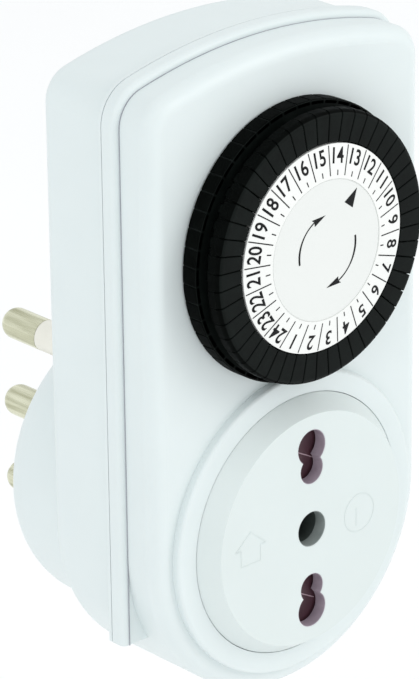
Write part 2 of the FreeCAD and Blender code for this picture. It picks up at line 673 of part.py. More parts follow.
def centre_plate():
    """Fixed disc with the time pointer, pressed on the centre post."""
    disc = cylinder("centre_disc", "centre_radius", "label_thick", y="-disc_front", z="dial_z")
    blind = cylinder("centre_blind", "1.5", "2", y="-disc_front + label_thick - 0.6", z="dial_z")
    return cut("centre_plate", disc, blind)


def clutch_washer():
    outer = cylinder("washer_outer", "6.5", "0.5", y="-dial_gear_front - 0.6", z="dial_z")
    inner = cylinder("washer_inner", "hub_radius + 0.1", "3", y="-dial_gear_front - 2", z="dial_z")
    return cut("clutch_washer", outer, inner)


# ---------------------------------------------------------------- gear train

def gear_face(teeth):
    """Outline of a spur gear about the local Z axis, with thinned teeth for backlash. A tooth is
    centred on the local X axis."""
    module = size("tooth_module")
    pitch, tip, root = module * teeth / 2, module * (teeth / 2 + 0.9), module * (teeth / 2 - 1.2)
    base = pitch * math.cos(math.radians(20))
    half_tooth = math.pi / (2 * teeth) * 0.82
    roll = math.tan(math.radians(20)) - math.radians(20)

    def flank(radius):
        """Half the tooth's angle at a radius, on the involute of a 20 degree rack."""
        if radius <= base:
            return half_tooth + roll
        lean = math.acos(base / radius)
        return half_tooth + roll - (math.tan(lean) - lean)

    steps = [root] + [max(base, root) + (tip - max(base, root)) * i / 3 for i in range(4)]
    points = []
    for tooth in range(teeth):
        middle = 2 * math.pi * tooth / teeth
        rise = [(radius, middle - flank(radius)) for radius in steps]
        fall = [(radius, middle + flank(radius)) for radius in reversed(steps)]
        points += [V(r * math.cos(a), r * math.sin(a), 0) for r, a in rise + fall]
    return Part.Face(Part.makePolygon(points + points[:1]))


def gear(teeth, front, turn, centre):
    """A spur gear of the train's thickness with its front face at the given depth."""
    made = gear_face(teeth).extrude(V(0, 0, size("gear_thick")))
    made.Placement = Placement(V(centre[0], -front, centre[1]), ALONG_Y.multiply(Rotation(V(0, 0, 1), -turn)))
    return made


def tube(radius, bore, front, back, centre):
    place = V(centre[0], -front, centre[1])
    outer = Part.makeCylinder(radius, front - back, place, V(0, 1, 0))
    return outer.cut(Part.makeCylinder(bore, front - back + 2, place - V(0, 1, 0), V(0, 1, 0)))


def beside(centre, distance, degrees):
    turn = math.radians(degrees)
    return centre[0] + distance * math.cos(turn), centre[1] + distance * math.sin(turn)


def mesh_turn(other_teeth, other_turn, teeth, degrees):
    """Turn of a gear whose centre lies in direction degrees from the gear that it meshes with."""
    phase = (degrees - other_turn) * other_teeth
    return degrees + 180 + (phase + 180) / teeth


def train():
    """Centres and starting turns of the wheels, from the dial to the motor."""
    module = size("tooth_module")
    dial_teeth, pinion = int(size("dial_teeth")), int(size("pinion_teeth"))
    first_teeth, second_teeth = int(size("first_teeth")), int(size("second_teeth"))
    motor_teeth = int(size("motor_teeth"))
    dial = (0.0, size("dial_z"))
    first = beside(dial, module * (dial_teeth + pinion) / 2, FIRST_DIRECTION)
    second = beside(first, module * (first_teeth + pinion) / 2, SECOND_DIRECTION)
    motor = beside(second, module * (second_teeth + motor_teeth) / 2, MOTOR_DIRECTION)
    turns = [0.0]
    turns.append(mesh_turn(dial_teeth, turns[0], pinion, FIRST_DIRECTION))
    turns.append(mesh_turn(first_teeth, turns[1], pinion, SECOND_DIRECTION))
    turns.append(mesh_turn(second_teeth, turns[2], motor_teeth, MOTOR_DIRECTION))
    return (dial, first, second, motor), turns


CENTRES, TURNS = train()


def dial_gear():
    centre = CENTRES[0]
    front = size("dial_gear_front")
    bored = gear(int(size("dial_teeth")), front, TURNS[0], centre)
    start = V(centre[0], -front - 5, centre[1])
    bored = bored.cut(Part.makeCylinder(size("post_bore"), 20, start, V(0, 1, 0)))
    return part_feature("dial_gear", bored)


def compound_wheel(label, centre, turn, pinion_front, wheel_teeth, wheel_front):
    """A pinion and a wheel on one bored hub."""
    bore = size("arbor_radius") + 0.05
    thick = size("gear_thick")
    pinion = gear(int(size("pinion_teeth")), pinion_front, turn, centre)
    wheel = gear(wheel_teeth, wheel_front, turn, centre)
    front, back = max(pinion_front, wheel_front), min(pinion_front, wheel_front) - thick
    hub = tube(1.5, bore, front, back, centre)
    hole = Part.makeCylinder(bore, 30, V(centre[0], -front - 5, centre[1]), V(0, 1, 0))
    return part_feature(label, pinion.fuse([wheel, hub]).cut(hole).removeSplitter())


def motor_pinion():
    centre = CENTRES[3]
    front = size("second_front")
    pinion = gear(int(size("motor_teeth")), front, TURNS[3], centre)
    shaft = Part.makeCylinder(1, front + 0.4 - size("motor_plate_back"),
                              V(centre[0], -front - 0.4, centre[1]), V(0, 1, 0))
    return part_feature("motor_pinion", pinion.fuse(shaft).removeSplitter())


def plate_with_holes(label, x, z, width, height, front, back, holes):
    plate = block(label + "_blank", x, f"-{front}", z, width, f"{front} - {back}", height)
    tools = [cylinder(f"{label}_hole_{i}", radius, "20", hx, f"-{front} - 5", hz)
             for i, (hx, hz, radius) in enumerate(holes)]
    return cut(label, plate, *tools)


def movement_plates():
    """Two plates that hold the arbors, with four pillars moulded on the front one."""
    _, first, second, motor = CENTRES
    arbor = "arbor_radius"
    pillars = []
    corners = [(-18, 36), (18, 36), (-19.4, 54), (13, 68)]
    for index, (x, z) in enumerate(corners):
        pillars.append(cylinder(f"pillar_{index}", "1.6", "plate_back - motor_plate_front + 0.3",
                                x, "-plate_back - 0.3", z))
    holes = [(first[0], first[1], "1.8"), (second[0], second[1], arbor)]
    front = plate_with_holes("movement_plate_flat", "-21", "33", "42", "37.8", "plate_front",
                             "plate_back", holes)
    arch = trimmed("movement_plate", fuse("movement_plate_full", front, *pillars))
    holes = [(first[0], first[1], arbor), (second[0], second[1], arbor), (motor[0], motor[1], "1.1")]
    back = plate_with_holes("motor_plate_flat", "-21", "30", "42", "40.8", "motor_plate_front",
                            "motor_plate_back", holes)
    return arch, trimmed("motor_plate", back)


def trimmed(label, plate):
    """Keep a plate clear of the arched top and of the upper screw posts."""
    arch = cylinder(label + "_arch", "arch_radius - wall - 0.6", "30", y="-front_depth",
                    z="arch_top - arch_radius")
    inside = doc.addObject("Part::Common", label + "_inside")
    inside.Base = plate
    inside.Tool = arch
    posts = [cylinder(f"{label}_post_{side}", "column_radius + 0.5", "30",
                      f"{side} * high_post_x", "-front_depth", "high_post_z") for side in (-1, 1)]
    return cut(label, inside, *posts)


def arbor_pins():
    """The two wheel arbors and the switch lever's hinge pin, all of one wire size."""
    pins = []
    for index, centre in enumerate(CENTRES[1:3]):
        front = "dial_gear_front + 0.6" if index == 0 else "plate_front"
        pins.append(cylinder(f"arbor_{index}", "arbor_radius", f"{front} - motor_plate_back",
                             centre[0], f"-({front})", centre[1]))
    pins.append(cylinder("lever_hinge_pin", "arbor_radius", "11", "-5.5", "-lever_depth", "lever_z",
                         turn=ALONG_X))
    return group("arbor_pins", *pins)


def motor_can():
    """Sealed synchronous gear motor with a flanged can."""
    x, z = MOTOR_CENTRE
    can = cylinder("motor_drum", "motor_radius", "motor_plate_back - motor_back - 0.1",
                   x, "-motor_plate_back + 0.1", z)
    rim = cylinder("motor_rim", "motor_radius + 0.8", "1", x, "-motor_plate_back + 0.1", z)
    shaft = cylinder("motor_shaft_way", "1.1", "3", CENTRES[3][0], "-motor_plate_back - 1", CENTRES[3][1])
    return cut("motor_can", fuse("motor_full", can, rim), shaft)


def motor_wires():
    """Two insulated leads from just under the motor down to the line and neutral straps."""
    thick = 0.6
    wires = []
    strap_face = -size("rivet_front") - size("sheet_metal")
    for x, drop, end in ((-9, 14, 14.5), (-6, -9, -11.5)):
        beside_motor = abs(x - MOTOR_CENTRE[0]) - thick
        under_motor = MOTOR_CENTRE[1] - math.sqrt(size("motor_radius") ** 2 - beside_motor ** 2) - 0.02
        route = [V(x, -26, under_motor), V(x, -25.2, drop), V(-2.2, -15, end), V(-2.2, strap_face, end)]
        section = Part.Wire(Part.Circle(route[0], (route[1] - route[0]).normalize(), thick).toShape())
        wires.append(bent_path(route, 2).makePipeShell([section], True, True))
    return part_feature("motor_wires", Part.makeCompound(wires))


def bent_path(points, radius):
    """Straight runs joined by tangent arcs of one radius."""
    edges = []
    start = points[0]
    for before, corner, after in zip(points, points[1:], points[2:]):
        into = (corner - before).normalize()
        out = (after - corner).normalize()
        turn = into.getAngle(out)
        set_back = radius * math.tan(turn / 2)
        first = corner - into * set_back
        last = corner + out * set_back
        bulge = (out - into).normalize()
        middle = corner + bulge * (radius / math.cos(turn / 2) - radius)
        edges.append(Part.LineSegment(start, first).toShape())
        edges.append(Part.Arc(first, middle, last).toShape())
        start = last
    edges.append(Part.LineSegment(start, points[-1]).toShape())
    return Part.Wire(edges)


# ---------------------------------------------------------------- switch

def switch_base():
    """Moulded base behind the lever, with two ears for its hinge pin."""
    base = block("switch_base_block", "-6", "-33", "18.6", "12", "2", "11")
    ears = [block(f"switch_ear_{i}", x, "-lever_depth - 1.4", "18.6", "1.2", "lever_depth + 1.4 - 32", "3")
            for i, x in enumerate(("-5.4", "4.2"))]
    hole = cylinder("switch_ear_hole", "arbor_radius", "20", "-10", "-lever_depth", "lever_z", turn=ALONG_X)
    return cut("switch_base", fuse("switch_base_full", base, *ears), hole)


def switch_lever():
    """Lever with a knuckle on the hinge pin and a thin nose between two tappet stems."""
    plate = block("lever_plate", "-3.4", "-lever_depth - 0.5", "lever_z", "6.8", "1", "7.4")
    knuckle = cylinder("lever_knuckle", "1.25", "7.6", "-3.8", "-lever_depth", "lever_z", turn=ALONG_X)
    nose = block("lever_nose", "nose_x - 0.3", "-42.6", "25.4", "0.6", "42.6 - lever_depth", "2")
    hole = cylinder("lever_hole", "arbor_radius + 0.05", "20", "-10", "-lever_depth", "lever_z", turn=ALONG_X)
    return cut("switch_lever", fuse("lever_full", plate, knuckle, nose), hole)


def lever_spring():
    """Leaf spring that leans from the base to the lever's back."""
    leaf = block("lever_spring", "-3.2", "-33.3", "lever_z + 0.6", "1.6", "0.25", "7.4")
    leaf.Placement.Rotation = Rotation(V(1, 0, 0), 38)
    return leaf


def moving_contact():
    leaf = block("moving_leaf", "-1.4", "-lever_depth + 0.5", "lever_z + 2", "2.8", "0.4", "5.2")
    stud = cylinder("moving_stud", "1.1", "0.8", "0", "-lever_depth + 0.8", "lever_z + 6")
    return fuse("moving_contact", leaf, stud)


def fixed_contact():
    stud = cylinder("fixed_stud", "1.1", "0.8", "0", "-34.6", "lever_z + 6")
    leaf = block("fixed_leaf", "-1.4", "-33.9", "lever_z + 1.6", "2.8", "0.9", "6")
    return fuse("fixed_contact", stud, leaf)


# ---------------------------------------------------------------- build, check and write

nodes = [
    front_cover(), rear_cover(), cover_screws(), socket_face(), socket_housing(),
    contact_clip("line_contact", 1), contact_clip("neutral_contact", -1), earth_contact(),
    safety_shutter(), shutter_spring(),
    plug_pin("line_pin", "pin_pitch", "core_radius", "sleeve_length"),
    plug_pin("neutral_pin", "-pin_pitch", "core_radius", "sleeve_length"),
    plug_pin("earth_pin", "0", "neck_radius", "-pin_seat"), pin_sleeves(),
    pin_strap("line_strap", "pin_pitch"), pin_strap("neutral_strap", "-pin_pitch"),
    pin_strap("earth_strap", "0"),
    dial_wheel(), hour_ring(), centre_plate(), centre_post(), clutch_washer(), dial_gear(),
    compound_wheel("first_wheel", CENTRES[1], TURNS[1], size("dial_gear_front"),
                   int(size("first_teeth")), size("first_front")),
    compound_wheel("second_wheel", CENTRES[2], TURNS[2], size("first_front"),
                   int(size("second_teeth")), size("second_front")),
    motor_pinion(), *movement_plates(), arbor_pins(), motor_can(), motor_wires(),
    switch_base(), switch_lever(), moving_contact(), fixed_contact(), lever_spring(),
    *tappets(),
]
doc.recompute()

for item in doc.Objects:
    if "Invalid" in item.State or "Error" in item.State:
        raise RuntimeError(f"{item.Label} did not recompute: {item.State}")
os.makedirs("parts", exist_ok=True)
for node in nodes:
    if node.Shape.isNull() or not node.Shape.isValid() or node.Shape.Volume <= 0:
        raise RuntimeError(f"{node.Label} has no valid shape")
    node.Shape.exportStep(f"parts/{node.Label}.step")
    box = node.Shape.BoundBox
    print(f"{node.Label:20s} {len(node.Shape.Solids):2d} solids {node.Shape.Volume:9.1f} mm3 "
          f"x {box.XMin:6.1f} {box.XMax:6.1f} y {box.YMin:6.1f} {box.YMax:6.1f} "
          f"z {box.ZMin:6.1f} {box.ZMax:6.1f}")
print(len(nodes), "nodes")
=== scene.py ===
"""The looks of a plug-in segment timer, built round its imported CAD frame.

Units are metres. +Y points into the wall, -Y at the user, +X to the user's right and +Z up.
"""

import math

import bmesh
import bpy
from mathutils import Matrix, Vector


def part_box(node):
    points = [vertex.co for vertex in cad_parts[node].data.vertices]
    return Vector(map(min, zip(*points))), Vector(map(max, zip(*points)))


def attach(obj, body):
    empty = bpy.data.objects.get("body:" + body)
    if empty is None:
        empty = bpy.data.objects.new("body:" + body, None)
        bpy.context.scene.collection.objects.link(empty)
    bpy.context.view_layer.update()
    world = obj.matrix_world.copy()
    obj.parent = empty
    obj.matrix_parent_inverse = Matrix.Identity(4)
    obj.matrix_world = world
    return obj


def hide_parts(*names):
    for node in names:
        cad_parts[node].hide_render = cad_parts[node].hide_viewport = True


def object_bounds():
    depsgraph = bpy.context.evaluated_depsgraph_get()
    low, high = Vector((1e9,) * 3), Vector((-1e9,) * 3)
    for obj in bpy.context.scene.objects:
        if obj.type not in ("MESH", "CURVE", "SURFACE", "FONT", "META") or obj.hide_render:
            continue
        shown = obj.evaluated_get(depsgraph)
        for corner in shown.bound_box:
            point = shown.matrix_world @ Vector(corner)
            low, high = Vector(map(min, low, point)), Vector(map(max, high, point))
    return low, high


MM = 0.001

# The camera, whose angles turn it away from a straight look at the front.
AZIMUTH = math.radians(-42.47)
ELEVATION = math.radians(22.57)
ROLL = math.radians(-0.67)
CAMERA_DISTANCE = 558.9 * MM
AIM_LEFT = 17.04 * MM
AIM_UP = 33.93 * MM
LENS_MM = 211.2
SENSOR_MM = 36.0

# The printed dial.
HOURS = 24
HOUR_STEP = 2 * math.pi / HOURS
FIRST_LINE = math.radians(56.0)     # the line between the fields 12 and 13
LINE_FIELD = 13
RING_INNER = 10.5 * MM
RING_THICKNESS = 0.9 * MM
PRINT_LIFT = 0.025 * MM
DIGIT_HEIGHT = 2.3 * MM
DIGIT_RADIUS = 13.75 * MM
DIGIT_NARROW = 0.86
SIZE_PER_HEIGHT = 1.37              # the typeface's size for a digit one unit tall
BOLD_PER_HEIGHT = 0.022
LINE_WIDTH = 0.17 * MM
LINE_INNER = 10.95 * MM
LINE_OUTER = 15.25 * MM
TICK_OUTER = 11.7 * MM

# The fixed disc's pointer, arrows and edge.
POINTER_TIP = 9.9 * MM
POINTER_BASE = 7.25 * MM
POINTER_ANGLE = math.radians(52.6)
POINTER_SPREAD = math.radians(8)
LEFT_ARROW_START = math.radians(190)
LEFT_ARROW_RADIUS = 5.3 * MM
RIGHT_ARROW_START = math.radians(8)
RIGHT_ARROW_RADIUS = 5.75 * MM
ARROW_SWEEP = math.radians(74)
ARROW_HALF = 0.17 * MM
HEAD_SWEEP = math.radians(24)
HEAD_BARB = math.radians(3)
HEAD_HALF = 0.6 * MM
HEAD_THICKNESS = 2.2 * PRINT_LIFT
THIN_SHARE = 0.6                    # of an arrow's width, at its thinnest
SWELL_START = 0.35                  # how far into its swell the arrow starts
EDGE_OUT = 0.07 * MM
EDGE_HALF = 0.065 * MM
EDGE_SINK = 0.04 * MM
EDGE_DEPTH = 0.5 * MM

# The tappets and the band behind them.
TAPPETS = 48
TAPPET_STEP = 2 * math.pi / TAPPETS
TAPPET_INNER = 15.6 * MM
TAPPET_OUTER = 20.2 * MM
TAPPET_DEPTH = 2.1 * MM
TAPPET_ROUND = 0.9 * MM
TAPPET_GAP = 0.15 * MM
TAPPET_BEVEL = 0.12 * MM
TAPPET_EDGE = 0.07 * MM
SKIRT_GAP = 0.02 * MM
SKIRT_INNER = TAPPET_INNER + 0.2 * MM
SKIRT_OUTER = TAPPET_OUTER - 0.04 * MM
SKIRT_FRONT = TAPPET_ROUND + 0.05 * MM
SKIRT_BACK = TAPPET_DEPTH - 0.05 * MM
# where the painted shade on the tappets' outer sides begins
RIM_SHADE_START = TAPPET_OUTER - 0.45 * TAPPET_ROUND
STEM_INNER = 17 * MM
STEM_OUTER = 18.6 * MM
STEM_WIDTH = 1.2 * MM
STEM_LAP = 0.1 * MM
BAND_OUTER = 20.9 * MM
BAND_DEPTH = 2.5 * MM
BAND_BEHIND = 3.0 * MM              # behind the dial wheel's foremost point
BAND_WALL = 0.7 * MM
BAND_ROUND = 0.25 * MM
BAND_GAP = 0.22 * MM
BAND_EDGE = 0.05 * MM

# The case's outline and its seams.
ARCH_RADIUS = 88 * MM
CORNER_RADIUS = 5.2 * MM
LIP_OUT = 1.05 * MM
LIP_BOTTOM = -13.5 * MM
LIP_DEPTH = 0.55 * MM
LIP_INSIDE = 0.03 * MM
SLIT = 0.2 * MM
SEAM_START = 0.01 * MM
SEAM_SHIFT = 0.15 * MM
SEAM_TRIM = 0.1 * MM
BEAD_DEPTH = 2.4 * MM
FOOT_HALF = 0.035 * MM
FOOT_DEPTH = 0.18 * MM
FOOT_FORWARD = 0.17 * MM

# The socket's holes, the painted shade inside them and the shutter's ribs.
PIN_PITCH = 13 * MM
SMALL_PITCH = 9.5 * MM
BIG_HOLE = 2.75 * MM
SMALL_HOLE = 2.25 * MM
SKIN = 2 * MM
SHADE_SHEET_INSET = 0.05 * MM
SHADE_SHEET_HALF = 0.04 * MM
SHADE_SHEET_START = 0.06 * MM
SHADE_SHEET_LENGTH = SKIN - 0.08 * MM
TUBE_LENGTH = 4.4 * MM
RIDGE_REACH = 2.5 * MM
RIDGE_RISE = 1.35 * MM
RIDGE_INWARD = 1.7 * MM
RIDGE_HALF = 0.07 * MM
RIDGE_HEIGHT = 0.12 * MM
RIDGE_DEPTH = 0.2 * MM

# The raised marks on the socket's face. A place is (across, up) from the middle of the socket.
MARK_HALF = 0.07 * MM
MARK_HEIGHT = 0.05 * MM
MARK_DEPTH = 0.1 * MM
MARK_RING = (9.7 * MM, -0.5 * MM)
MARK_RING_RADIUS = 3.0 * MM
BAR_LEFT = 0.6 * MM
BAR_DOWN = 2 * MM
BAR_UP = 0.9 * MM
MARK_HOUSE = (-12.2 * MM, 0.6 * MM)
WALL_HALF = 1.9 * MM
WALL_FOOT = -2.2 * MM
EAVES_HALF = 3.0 * MM
EAVES_UP = 0.4 * MM
ROOF_UP = 2.9 * MM

# The studio.
SKY_COLOUR = (0.97, 0.988, 1.0)
SKY_STRENGTH = 0.93
KEY_PLACE = Vector((0.55, -0.75, 0.55))
KEY_SIZE = 0.5
KEY_WATTS = 2.3
KEY_COLOUR = (1.0, 0.985, 0.96)
FILL_PLACE = Vector((-0.9, -0.35, 0.45))
FILL_SIZE = 0.7
FILL_WATTS = 1.35
FILL_COLOUR = (0.97, 0.985, 1.0)
FLOOR_RADIUS = 4.0
FLOOR_DROP = 0.06

# Surfaces: how wide their marks are, and how deep.
GRAIN_DEPTH = 0.004 * MM
FLOW_DEPTH = 0.02 * MM
STREAK_WIDTH = 1.1 * MM
SCRATCH_WIDTH = 0.05 * MM
SCRATCH_DEPTH = 0.002 * MM


# ---------------------------------------------------------------- node helpers

def new_material(name):
    """A material with an empty Principled shader, and its node tree."""
    made = bpy.data.materials.new(name)
    made.use_nodes = True
    return made, made.node_tree, made.node_tree.nodes["Principled BSDF"]


def object_coordinates(tree, stretch=(1, 1, 1)):
    """The object's own coordinates in metres, stretched along the axes."""
    source = tree.nodes.new("ShaderNodeTexCoord")
    mapping = tree.nodes.new("ShaderNodeMapping")
    mapping.inputs["Scale"].default_value = stretch
    tree.links.new(source.outputs["Object"], mapping.inputs["Vector"])
    return mapping.outputs["Vector"]


def noise(tree, where, size, detail=3.0, roughness=0.5):
    """Noise whose lumps are about size metres across."""
    made = tree.nodes.new("ShaderNodeTexNoise")
    made.inputs["Scale"].default_value = 1 / size
    made.inputs["Detail"].default_value = detail
    made.inputs["Roughness"].default_value = roughness
    tree.links.new(where, made.inputs["Vector"])
    return made.outputs["Fac"]


def ramp(tree, value, *stops):
    """A colour ramp through (position, colour) stops."""
    made = tree.nodes.new("ShaderNodeValToRGB")
    points = made.color_ramp.elements
    while len(points) < len(stops):
        points.new(0.5)
    for point, (position, colour) in zip(points, stops):
        point.position = position
        point.color = (*colour, 1)
    tree.links.new(value, made.inputs["Fac"])
    return made.outputs["Color"]


def spread(tree, value, low, high):
    """The noise value, mapped from its usual middle stretch to low..high."""
    made = tree.nodes.new("ShaderNodeMapRange")
    made.inputs["From Min"].default_value = 0.3
    made.inputs["From Max"].default_value = 0.7
    made.inputs["To Min"].default_value = low
    made.inputs["To Max"].default_value = high
    tree.links.new(value, made.inputs["Value"])
    return made.outputs["Result"]


def bump(tree, shader, height, depth, strength=1.0, under=None):
    """Feeds a height map of the given depth in metres into the shader's normal."""
    made = tree.nodes.new("ShaderNodeBump")
    made.inputs["Strength"].default_value = strength
    made.inputs["Distance"].default_value = depth
    tree.links.new(height, made.inputs["Height"])
    if under is not None:
        tree.links.new(under, made.inputs["Normal"])
    tree.links.new(made.outputs["Normal"], shader.inputs["Normal"])
    return made.outputs["Normal"]


def moulded(name, colour, other, rough, grain=0.14 * MM, flow=9 * MM, inner_glow=0.0):
    """Moulded plastic: a spark-eroded grain, soft flow marks and a slightly uneven sheen."""
    made, tree, shader = new_material(name)
    where = object_coordinates(tree)
    marks = noise(tree, where, flow, detail=4)
    tone = ramp(tree, marks, (0.3, other), (0.7, colour))
    tree.links.new(tone, shader.inputs["Base Color"])
    sheen = spread(tree, noise(tree, where, flow / 4, detail=5), rough - 0.05, rough + 0.05)
    tree.links.new(sheen, shader.inputs["Roughness"])
    waves = bump(tree, shader, marks, FLOW_DEPTH, strength=0.35)
    bump(tree, shader, noise(tree, where, grain, detail=2), GRAIN_DEPTH, strength=0.6, under=waves)
    shader.inputs["Subsurface Weight"].default_value = inner_glow
    shader.inputs["Subsurface Radius"].default_value = (1.2 * MM, 1.1 * MM, 1.0 * MM)
    shader.inputs["Subsurface Scale"].default_value = 1.0
    return made


def metal(name, colour, other, rough, stretch):
    """Plated or rolled metal with dull streaks and fine scratches along the stretched axis."""
    made, tree, shader = new_material(name)
    streaks = noise(tree, object_coordinates(tree, stretch), STREAK_WIDTH, detail=3)
    tone = ramp(tree, streaks, (0.36, other), (0.64, colour))
    tree.links.new(tone, shader.inputs["Base Color"])
    lines = noise(tree, object_coordinates(tree, stretch), SCRATCH_WIDTH, detail=3)
    tree.links.new(spread(tree, lines, rough - 0.08, rough + 0.1), shader.inputs["Roughness"])
    bump(tree, shader, lines, SCRATCH_DEPTH, strength=0.6)
    shader.inputs["Metallic"].default_value = 1.0
    return made


# ---------------------------------------------------------------- materials

def case_white():
    return moulded("case_white", (0.735, 0.80, 0.80), (0.72, 0.785, 0.785), 0.42, inner_glow=0.08)


def face_white():
    return moulded("face_white", (0.70, 0.765, 0.755), (0.685, 0.75, 0.74), 0.4, inner_glow=0.08)


def black_abs(name, tone_low, tone_high, gloss):
    """Black ABS: satin, with pale rub marks that the fingers leave."""
    made, tree, shader = new_material(name)
    where = object_coordinates(tree)
    rubs = noise(tree, where, 2.2 * MM, detail=6, roughness=0.65)
    tone = ramp(tree, rubs, (0.35, tone_low), (0.75, tone_high))
    tree.links.new(tone, shader.inputs["Base Color"])
    tree.links.new(spread(tree, rubs, 0.42, 0.58), shader.inputs["Roughness"])
    bump(tree, shader, noise(tree, where, 0.12 * MM, detail=2), GRAIN_DEPTH, strength=0.7)
    shader.inputs["Specular IOR Level"].default_value = gloss
    return made


def ring_black():
    return black_abs("ring_black", (0.003, 0.0045, 0.004), (0.007, 0.0098, 0.0088), 0.07)


# A deeper black than the ring's: the band's own black darkened further as painted shade, and painted
# shade on the tappets' outer sides.
def band_black():
    return black_abs("band_black", (0.001, 0.0014, 0.0012), (0.0026, 0.0036, 0.0032), 0.02)


def label_white():
    return moulded("label_white", (0.86, 0.87, 0.85), (0.84, 0.85, 0.83), 0.45, grain=0.1 * MM)


def disc_white():
    return moulded("disc_white", (0.78, 0.80, 0.78), (0.765, 0.785, 0.765), 0.42, grain=0.1 * MM)


def print_black():
    """Pad-printed ink: nearly black, with a thin uneven film."""
    made, tree, shader = new_material("print_black")
    film = noise(tree, object_coordinates(tree), 0.25 * MM, detail=4)
    tone = ramp(tree, film, (0.3, (0.004, 0.0045, 0.005)), (0.75, (0.011, 0.0118, 0.0125)))
    tree.links.new(tone, shader.inputs["Base Color"])
    tree.links.new(spread(tree, film, 0.45, 0.62), shader.inputs["Roughness"])
    bump(tree, shader, film, 0.002 * MM, strength=0.4)
    shader.inputs["Specular IOR Level"].default_value = 0.15
    return made


def shutter_plastic():
    return moulded("shutter_plastic", (0.078, 0.031, 0.042), (0.052, 0.02, 0.029), 0.36, flow=2.5 * MM)


# grey for the painted shade in the parting slit and at the bead's foot
def seam_grey():
    return moulded("seam_grey", (0.36, 0.37, 0.41), (0.30, 0.31, 0.35), 0.5, flow=3 * MM)


# lighter than the shutter's plastic: a painted highlight on its ribs
def ridge_plum():
    return moulded("ridge_plum", (0.42, 0.30, 0.34), (0.36, 0.25, 0.29), 0.35, flow=2 * MM)


# These three finishes are painted shade on the walls of the socket's holes: plum grey in the pin holes,
# grey at the earth hole's mouth, and dark deep in the earth tube.
def liner_plum():
    return moulded("liner_plum", (0.44, 0.37, 0.43), (0.34, 0.275, 0.33), 0.4, flow=2 * MM)


def liner_grey():
    return moulded("liner_grey", (0.36, 0.40, 0.39), (0.28, 0.32, 0.31), 0.4, flow=2 * MM)


def liner_dark():
    return moulded("liner_dark", (0.075, 0.092, 0.088), (0.05, 0.064, 0.06), 0.4, flow=2 * MM)


def inner_plastic():
    return moulded("inner_plastic", (0.62, 0.62, 0.58), (0.57, 0.57, 0.53), 0.5)


def sleeve_white():
    return moulded("sleeve_white", (0.86, 0.84, 0.76), (0.83, 0.81, 0.73), 0.4, flow=3 * MM)


def gear_nylon():
    return moulded("gear_nylon", (0.78, 0.76, 0.66), (0.72, 0.70, 0.61), 0.4, flow=3 * MM)


def wire_insulation():
    return moulded("wire_insulation", (0.05, 0.12, 0.35), (0.04, 0.10, 0.30), 0.35, flow=2 * MM)


# The pale and dark olive streaks along the pins are partly their drawn plating and partly painted
# reflection.
def pin_nickel():
    return metal("pin_nickel", (0.80, 0.80, 0.62), (0.46, 0.46, 0.31), 0.26, (1, 0.06, 1))


def brass():
    return metal("brass", (0.78, 0.58, 0.25), (0.68, 0.49, 0.2), 0.3, (1, 1, 0.1))


def steel():
    return metal("steel", (0.6, 0.61, 0.62), (0.5, 0.51, 0.52), 0.34, (0.15, 1, 1))


def motor_metal():
    return metal("motor_metal", (0.66, 0.66, 0.64), (0.58, 0.58, 0.56), 0.38, (0.1, 1, 1))


FINISHES = (
    case_white, face_white, ring_black, label_white, disc_white, shutter_plastic, inner_plastic,
    sleeve_white, gear_nylon, wire_insulation, pin_nickel, brass, steel, motor_metal,
    seam_grey, ridge_plum, liner_plum, liner_grey, liner_dark, band_black,
)


def dress_nodes(nodes, finishes):
    """Every CAD node's slots get the detailed material of the same name."""
    for node in nodes.values():
        for place in node.material_slots:
            place.material = finishes[place.material.name.split(".")[0]]


# ---------------------------------------------------------------- mesh helpers

def mesh_piece(name, mesh, finish, body):
    """A new piece made from a bmesh, which rides on a CAD body."""
    data = bpy.data.meshes.new(name)
    bmesh.ops.recalc_face_normals(mesh, faces=mesh.faces)
    mesh.to_mesh(data)
    mesh.free()
    data.materials.append(finish)
    made = bpy.data.objects.new(name, data)
    bpy.context.scene.collection.objects.link(made)
    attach(made, body)
    return made


def slab(mesh, outline, place, thickness):
    """A closed slab over a flat outline of (u, v) points; place turns (u, v, depth) into a point."""
    front = [mesh.verts.new(place(u, v, 0.0)) for u, v in outline]
    back = [mesh.verts.new(place(u, v, thickness)) for u, v in outline]
    mesh.faces.new(front)
    mesh.faces.new(reversed(back))
    count = len(outline)
    for i in range(count):
        j = (i + 1) % count
        mesh.faces.new((front[i], back[i], back[j], front[j]))


def ribbon(mesh, points, half, place, thickness, closed=False):
    """A strip of the given half width along points (u, v), as thick as a slab."""
    count = len(points)
    rings = []
    for i, (u, v) in enumerate(points):
        before = points[i - 1] if closed or i > 0 else points[i]
        after = points[(i + 1) % count] if closed or i < count - 1 else points[i]
        du, dv = after[0] - before[0], after[1] - before[1]
        long = math.hypot(du, dv)
        across_u, across_v = -dv / long * half, du / long * half
        corners = (
            place(u + across_u, v + across_v, 0.0), place(u - across_u, v - across_v, 0.0),
            place(u - across_u, v - across_v, thickness), place(u + across_u, v + across_v, thickness),
        )
        rings.append([mesh.verts.new(corner) for corner in corners])
    for i in range(count if closed else count - 1):
        near, far = rings[i], rings[(i + 1) % count]
        for k in range(4):
            j = (k + 1) % 4
            mesh.faces.new((near[k], far[k], far[j], near[j]))
    if not closed:
        mesh.faces.new(rings[0])
        mesh.faces.new(reversed(rings[-1]))


def arc_points(u, v, radius, start, end, steps):
    """Points on an arc from start to end, in radians."""
    angles = [start + (end - start) * i / steps for i in range(steps + 1)]
    return [(u + radius * math.cos(a), v + radius * math.sin(a)) for a in angles]


def soften(made, angle=35):
    """Smooth shading, with the edges sharper than the angle kept crisp."""
    for face in made.data.polygons:
        face.use_smooth = True
    made.data.set_sharp_from_angle(angle=math.radians(angle))


# ---------------------------------------------------------------- the case's seam

